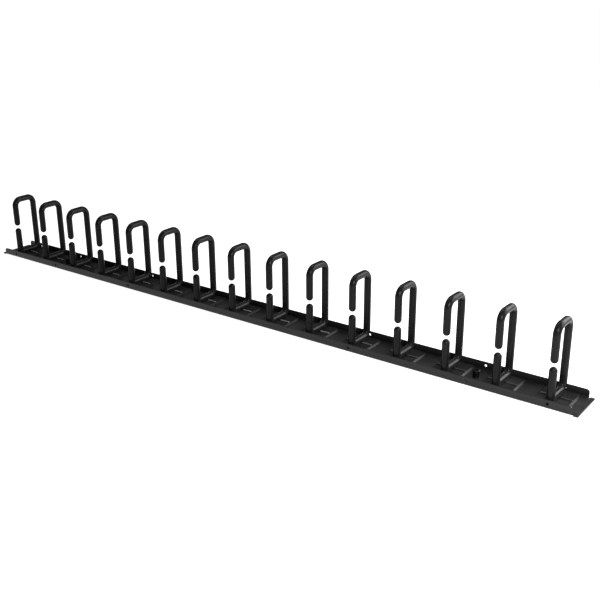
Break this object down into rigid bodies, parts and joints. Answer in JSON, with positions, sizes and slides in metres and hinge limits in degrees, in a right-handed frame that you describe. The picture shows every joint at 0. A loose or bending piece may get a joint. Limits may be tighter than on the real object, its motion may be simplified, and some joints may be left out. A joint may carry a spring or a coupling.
{
  "type": "vertical cable manager",
  "caption": "Long shallow steel channel with a row of split, rounded rectangular plastic rings that hold cable bundles up the side of an equipment rack",
  "frame": {"origin": "middle of the tray's underside, which is the bottom centre of the bounding box", "axes": "+X along the tray; +Y across it, from the side with the rings' splits to the back; +Z out of the tray, the way the rings stand"},
  "size_m": [0.9144, 0.049, 0.0917],
  "materials": {
    "tray_coat": "black powder coat, satin",
    "hook_plastic": "black moulded plastic, fine satin grain",
    "screw_zinc": "zinc plated steel",
    "bush_zinc": "black zinc plated steel"
  },
  "bodies": {
    "root": {"tray": "tray_coat", "hook_01": "hook_plastic", "hook_02": "hook_plastic", "hook_03": "hook_plastic", "hook_04": "hook_plastic", "hook_05": "hook_plastic", "hook_06": "hook_plastic", "hook_07": "hook_plastic", "hook_08": "hook_plastic", "hook_09": "hook_plastic", "hook_10": "hook_plastic", "hook_11": "hook_plastic", "hook_12": "hook_plastic", "hook_13": "hook_plastic", "hook_14": "hook_plastic", "hook_15": "hook_plastic", "hook_screws_front": "screw_zinc", "hook_screws_back": "screw_zinc", "mount_bush_left": "bush_zinc", "mount_bush_right": "bush_zinc"}
  },
  "joints": []
}
